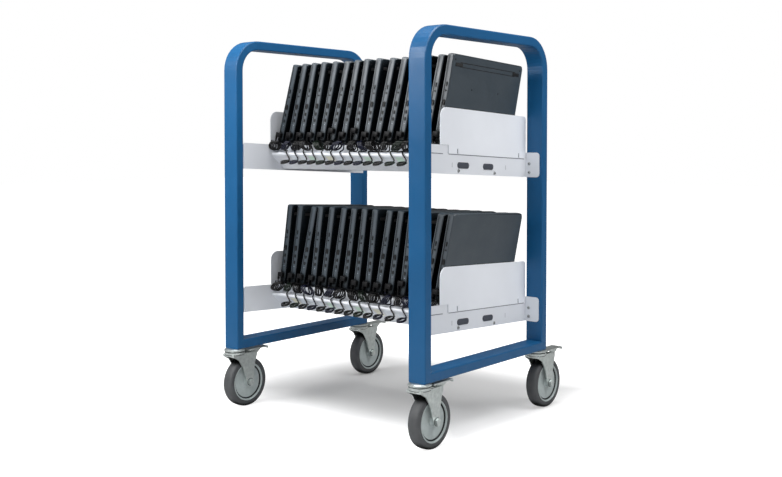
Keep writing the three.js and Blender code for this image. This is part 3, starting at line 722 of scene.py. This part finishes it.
for shelf in SHELVES:
    for end, side in (("left", -1), ("right", 1)):
        outward = Matrix.Rotation(side * math.pi / 2, 4, "Y")
        facing = Matrix.Rotation(math.pi * (side < 0), 4, "Z") @ Matrix.Rotation(-side * TRAY_TILT, 4, "X")
        for k, (back, _) in enumerate(PLUG_PLACES):
            oval = piece_of(f"{shelf}_{end}_oval_plug_{k + 1}", oval_meshes[k], oval_finish)
            place = on_shelf(shelf, side * SKIRT_FACE, back, -PLUG_DROP)
            oval.matrix_world = Matrix.Translation(place) @ facing
            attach(oval, "cart")
        for k, (back, up) in enumerate(SKIRT_SCREWS):
            small = piece_of(f"{shelf}_{end}_skirt_screw_{k + 1}", screw, screw_zinc, socket_shade_finish)
            small.matrix_world = Matrix.Translation(on_shelf(shelf, side * SKIRT_FACE, back, up)) @ outward
            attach(small, "cart")
        # Each skirt has two slits, drawn as thin grey strips: painted shade inside the slits.
        for k, back in enumerate(SKIRT_SLITS):
            slit_shade = piece_of(f"{shelf}_{end}_skirt_slit_{k + 1}", slit_shadow_mesh, slit_shadow_finish)
            slit_shade.location = on_shelf(shelf, side * SKIRT_FACE, back, -PLUG_DROP)
            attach(slit_shade, "cart")
        # Dark strips along each end plate's foot and in the skirt's groove: painted shadow under the foot's
        # edge and in the groove.
        for k, (back, _) in enumerate(SEAM_SHADOWS):
            seam = piece_of(f"{shelf}_{end}_plate_seam_{k + 1}", seam_shadow_meshes[k], seam_shadow_finish)
            seam.location = on_shelf(shelf, side * SKIRT_FACE, back, SEAM_SHADOW_LIFT - SEAM_SHADOW_HEIGHT / 2)
            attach(seam, "cart")
        plate_face = max(abs(corner.x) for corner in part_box(f"{shelf}_{end}_end_plate")) - HOOK_PROUD
        # Beside each hook on an end plate a dark strip stands for the hook's painted shadow.
        for k, back in enumerate(HOOK_SHADOWS):
            hook_shade = piece_of(f"{shelf}_{end}_hook_slot_{k + 1}", hook_shadow_mesh, seam_shadow_finish)
            hook_shade.location = on_shelf(shelf, side * plate_face, back, HOOK_SHADOW_UP)
            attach(hook_shade, "cart")
        for row, back in (("front", -1), ("rear", 1)):
            for k, drop in enumerate(TAB_SCREW_DROPS):
                head = piece_of(f"{shelf}_{row}_{end}_tab_screw_{k + 1}", screw, screw_zinc, socket_shade_finish)
                place = on_shelf(shelf, side * TAB_SCREW_ACROSS, back * TAB_INSIDE, -drop)
                head.matrix_world = Matrix.Translation(place) @ Matrix.Rotation(back * math.pi / 2, 4, "X")
                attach(head, "cart")


# Small blank slot labels in pale card colours, one beside each lead but the last on each shelf.
# They are stuck along the raked face of each lip.
LABEL_SIZE = (0.024, 0.0003, 0.028)
LIP_SETBACK = 0.046
LIP_DROP = 0.038
LIP_RAKE = math.atan2(LIP_SETBACK, LIP_DROP + LIP_SETBACK * math.tan(TRAY_TILT))
LABEL_BACK = -0.1320
LABEL_DROP = 0.01895
LABEL_SHIFT = 0.0265
LABEL_TINTS = {"blue": (0.86, 0.92, 0.99), "green": (0.70, 0.88, 0.77), "cream": (0.92, 0.91, 0.76)}
LABEL_ORDER = ("blue", "blue", "green", "blue", "cream", "blue", "blue", "blue", "green")
label_finishes = {tint: finish_of(f"label_{tint}", colour, 0.5)[0] for tint, colour in LABEL_TINTS.items()}
label_meshes = {}
for tint, finish in label_finishes.items():
    label_meshes[tint] = mesh_of(f"label_{tint}", rounded_block(LABEL_SIZE, 0.0001, segments=1), smooth=False)
for shelf in SHELVES:
    for slot in range(SLOTS - 1):
        tint = LABEL_ORDER[(slot + (shelf == "lower") * 4) % len(LABEL_ORDER)]
        label = piece_of(f"{shelf}_label_{slot + 1:02d}", label_meshes[tint], label_finishes[tint])
        middle = slot_middle(shelf, slot)
        across = max((LIP_FIRST + LIP_PITCH * slot) * MM, middle + LIP_MOST_LEFT * MM) + LABEL_SHIFT
        label.location = on_shelf(shelf, across, LABEL_BACK, -LABEL_DROP)
        label.rotation_euler = (LIP_RAKE, 0, 0)
        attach(label, "cart")


# A moulded divider rack stands on each platform and keeps the notebooks apart. A charging unit
# in a vented plastic case is fixed under each tray, inside the height of the skirts.
rack_finish, rack_shader = finish_of("rack_moulding", (0.012, 0.013, 0.015), 0.6)
grain(rack_finish, rack_shader, noise_on(rack_finish, 700), 0.0001)
unit_finish, unit_shader = finish_of("unit_case", (0.045, 0.048, 0.053), 0.55)
grain(unit_finish, unit_shader, noise_on(unit_finish, 500), 0.00015)
for shelf in SHELVES:
    dress(f"{shelf}_divider_rack", rack_finish)
    soften(f"{shelf}_divider_rack", 0.0004)
    dress(f"{shelf}_charging_unit", unit_finish)
    soften(f"{shelf}_charging_unit", 0.0008)


# The load: closed notebooks in textured charcoal plastic, with ports along the front edge and
# rubber feet, screws and vents in the base cover. Each one keeps its own lean in its slot.
BASE_THICK = 0.0125
GAP_SHADE = 0.045
LID_INSET = 0.0008
PORTS = (
    (0.064, 0.0042, 0.0090),
    (0.082, 0.0042, 0.0090),
    (0.104, 0.0056, 0.0140),
    (0.134, 0.0036, 0.0036),
    (0.150, 0.0022, 0.0120),
)
PORT_ROUNDING = 0.24
PORT_DEEP = 0.0008
PORT_SUNK = 0.0001
SEAM_WIDE = 0.0013
SEAM_SHORT = 0.012
LAMP_UP = 0.052
LAMP_WIDE = 0.0016
FOOT_PLACES = ((-0.130, -0.085), (0.130, -0.085), (-0.130, 0.088), (0.130, 0.088))
VENT_LINES = ((0.094, 0.25), (0.083, 0.25))
COVER_SCREWS = (
    (-0.148, -0.1), (0.148, -0.1), (-0.148, 0.1), (0.148, 0.1), (0, -0.1), (-0.06, 0.03), (0.06, 0.03),
)
COVER_SCREW_PROFILE = ((0, 0), (0.0024, 0), (0.0024, 0.0003), (0, 0.0003))
FOOT_SIZE = (0.0020, 0.030, 0.008)
FOOT_PROUD = 0.0004
VENT_DEEP = 0.0006
VENT_HEIGHT = 0.0018
shell_finish, shell_shader = finish_of("notebook_shell", (0.040, 0.052, 0.064), 0.46)
vary(
    shell_finish, noise_on(shell_finish, 2600, 2), shell_shader.inputs["Base Color"],
    [(0.35, (0.024, 0.039, 0.052)), (0.65, (0.036, 0.053, 0.069))],
)
vary(
    shell_finish, noise_on(shell_finish, 18), shell_shader.inputs["Roughness"],
    [(0.3, (0.40,) * 3), (0.7, (0.54,) * 3)],
)
grain(shell_finish, shell_shader, noise_on(shell_finish, 1800, 2), 0.00006)
# Painted shade on the shells in the narrow gaps between neighbouring notebooks.
shade_gaps(shell_finish, shell_shader, GAP_SHADE, 0.50, 0.86, 0.06)
port_finish, _ = finish_of("port_opening", (0.006, 0.0062, 0.007), 0.5)
lamp_finish, _ = finish_of("charge_lamp", (0.55, 0.62, 0.70), 0.3)
rubber_finish, _ = finish_of("foot_rubber", (0.016, 0.016, 0.017), 0.8)


def book_edge_mesh(stance):
    """Ports, lid seam and charge lamp on a notebook's front edge, in its own out, back and up directions."""
    shape = bmesh.new()
    middle = stance.thick / 2 - BASE_THICK / 2 - LID_INSET
    lid_line = stance.thick / 2 - BASE_THICK - LID_INSET
    edge = -stance.length / 2 + PORT_SUNK
    low = -stance.depth / 2
    for up, wide, tall in PORTS:
        rounding = min(wide, tall) * PORT_ROUNDING
        rounded_block((wide, PORT_DEEP, tall), rounding, shape, (middle, edge, low + up), segments=1)
    seam = (SEAM_WIDE, PORT_DEEP, stance.depth - SEAM_SHORT)
    rounded_block(seam, 0.0002, shape, (lid_line, edge, 0), segments=1)
    lit = len(shape.faces)
    lens = (LAMP_WIDE, PORT_DEEP, LAMP_WIDE)
    rounded_block(lens, 0.0003, shape, (middle, edge, low + LAMP_UP), segments=1)
    shape.faces.ensure_lookup_table()
    for face in list(shape.faces)[lit:]:
        face.material_index = 1
    return mesh_of("notebook_ports", shape, smooth=False)


def book_base_mesh(stance):
    """Feet, vents and screws on a notebook's base cover."""
    shape = bmesh.new()
    face = stance.thick / 2
    for back, up in FOOT_PLACES:
        rounded_block(FOOT_SIZE, 0.0008, shape, (face + FOOT_PROUD, back, up))
    slots = len(shape.faces)
    for up, length in VENT_LINES:
        rounded_block((VENT_DEEP, length, VENT_HEIGHT), 0.0002, shape, (face, 0, up), segments=1)
    for back, up in COVER_SCREWS:
        turn = Matrix.Translation((face - 0.0001, back, up)) @ Matrix.Rotation(math.pi / 2, 4, "Y")
        turned_ring(shape, COVER_SCREW_PROFILE, 14, turn)
    shape.faces.ensure_lookup_table()
    for made in list(shape.faces)[slots:]:
        made.material_index = 1
    return mesh_of("notebook_base_fittings", shape, smooth=False)


sample = STANCE[NOTEBOOKS["upper"][0]]
edge_mesh, base_mesh = book_edge_mesh(sample), book_base_mesh(sample)
PLAIN_SIDED = {NOTEBOOKS["lower"][-1]}
for shelf in SHELVES:
    for node in NOTEBOOKS[shelf]:
        dress(node, shell_finish)
        soften(node, 0.0005, 40.0)
        ports = piece_of(f"{node}_ports", edge_mesh, port_finish, lamp_finish)
        ports.matrix_world = STANCE[node].matrix()
        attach(ports, "cart")
        if node not in PLAIN_SIDED:
            fittings = piece_of(f"{node}_base_fittings", base_mesh, rubber_finish, port_finish)
            fittings.matrix_world = STANCE[node].matrix()
            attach(fittings, "cart")


# The studio: a pale floor that runs to a white surround. For the camera the floor also glows, a
# painted brightening held low in a rectangle under the cart, so the cart's shadow shows only there
# and fades out round it. Four soft lamps: in front, at the right, overhead, and near the left,
# mirrored in the posts.
FLOOR_SIZE = 30.0
SHADOW_MIDDLE = (-0.09, 0.19, 0)
SHADOW_HALF = (0.40, 0.32, 1)
SHADOW_FROM, SHADOW_TO = 0.6, 1.7
SHADOW_LIFT = 0.12
FRONT_GLOW, BACK_GLOW = 0.40, 0.14
LAMPS = (
    ("soft_key", (0.7, -2.9, 2.6), 1.8, 42),
    ("soft_side", (1.6, 0.4, 2.1), 1.2, 26),
    ("soft_top", (0.1, -0.2, 2.7), 1.6, 44),
    ("soft_fill", (-0.62, -1.25, 1.34), 0.8, 15),
)
LIT_POINT = Vector((0, 0, 0.5))
floor_mesh = bpy.data.meshes.new("studio_floor")
half = FLOOR_SIZE / 2
floor_corners = [(-half, -half, 0), (half, -half, 0), (half, half, 0), (-half, half, 0)]
floor_mesh.from_pydata(floor_corners, [], [(0, 1, 2, 3)])
floor = bpy.data.objects.new("studio_floor", floor_mesh)
scene.collection.objects.link(floor)
floor_finish, floor_shader = finish_of("studio_floor", (0.57, 0.57, 0.57), 0.9)
floor_mesh.materials.append(floor_finish)
# The floor's painted glow for camera rays, weakest in the shadow's rectangle under the cart.
tree = floor_finish.node_tree
seen = tree.nodes.new("ShaderNodeLightPath")
glow = tree.nodes.new("ShaderNodeEmission")
glow.inputs["Color"].default_value = (1, 1, 1, 1)
both = tree.nodes.new("ShaderNodeAddShader")
spot = tree.nodes.new("ShaderNodeTexCoord")
shadow = tree.nodes.new("ShaderNodeMapping")
shadow.vector_type = "TEXTURE"
shadow.inputs["Location"].default_value = SHADOW_MIDDLE
shadow.inputs["Scale"].default_value = SHADOW_HALF
across = tree.nodes.new("ShaderNodeVectorMath")
across.operation = "ABSOLUTE"
sides = tree.nodes.new("ShaderNodeSeparateXYZ")
away = tree.nodes.new("ShaderNodeMath")
away.operation = "MAXIMUM"
fade = tree.nodes.new("ShaderNodeMapRange")
fade.interpolation_type = "SMOOTHSTEP"
fade.inputs["From Min"].default_value = SHADOW_FROM
fade.inputs["From Max"].default_value = SHADOW_TO
fade.inputs["To Min"].default_value = SHADOW_LIFT
fade.inputs["To Max"].default_value = 1.0
lift = tree.nodes.new("ShaderNodeMath")
lift.operation = "MULTIPLY"
tree.links.new(spot.outputs["Object"], shadow.inputs["Vector"])
tree.links.new(shadow.outputs["Vector"], across.inputs[0])
tree.links.new(across.outputs["Vector"], sides.inputs["Vector"])
tree.links.new(sides.outputs["X"], away.inputs[0])
tree.links.new(sides.outputs["Y"], away.inputs[1])
tree.links.new(away.outputs["Value"], fade.inputs["Value"])
tree.links.new(seen.outputs["Is Camera Ray"], lift.inputs[0])
tree.links.new(fade.outputs["Result"], lift.inputs[1])
tree.links.new(lift.outputs["Value"], glow.inputs["Strength"])
tree.links.new(floor_shader.outputs["BSDF"], both.inputs[0])
tree.links.new(glow.outputs["Emission"], both.inputs[1])
tree.links.new(both.outputs["Shader"], tree.nodes["Material Output"].inputs["Surface"])

world = bpy.data.worlds.new("white_studio")
world.use_nodes = True
scene.world = world
tree = world.node_tree
sky = tree.nodes["Background"]
sky.inputs["Color"].default_value = (1, 1, 1, 1)
path = tree.nodes.new("ShaderNodeLightPath")
clear = tree.nodes.new("ShaderNodeMath")
clear.operation = "MAXIMUM"
toward = tree.nodes.new("ShaderNodeTexCoord")
parts = tree.nodes.new("ShaderNodeSeparateXYZ")
ambient = tree.nodes.new("ShaderNodeMapRange")
ambient.inputs["From Min"].default_value = -1.0
ambient.inputs["To Min"].default_value = FRONT_GLOW
ambient.inputs["To Max"].default_value = BACK_GLOW
level = tree.nodes.new("ShaderNodeMix")
level.inputs["B"].default_value = 1.0
tree.links.new(path.outputs["Is Camera Ray"], clear.inputs[0])
tree.links.new(path.outputs["Is Transmission Ray"], clear.inputs[1])
tree.links.new(toward.outputs["Generated"], parts.inputs["Vector"])
tree.links.new(parts.outputs["Y"], ambient.inputs["Value"])
tree.links.new(clear.outputs["Value"], level.inputs["Factor"])
tree.links.new(ambient.outputs["Result"], level.inputs["A"])
tree.links.new(level.outputs["Result"], sky.inputs["Strength"])

for name, place, size, power in LAMPS:
    lamp_data = bpy.data.lights.new(name, "AREA")
    lamp_data.shape = "DISK"
    lamp_data.size = size
    lamp_data.energy = power
    lamp = bpy.data.objects.new(name, lamp_data)
    lamp.location = place
    lamp.rotation_euler = (LIT_POINT - Vector(place)).to_track_quat("-Z", "Y").to_euler()
    scene.collection.objects.link(lamp)
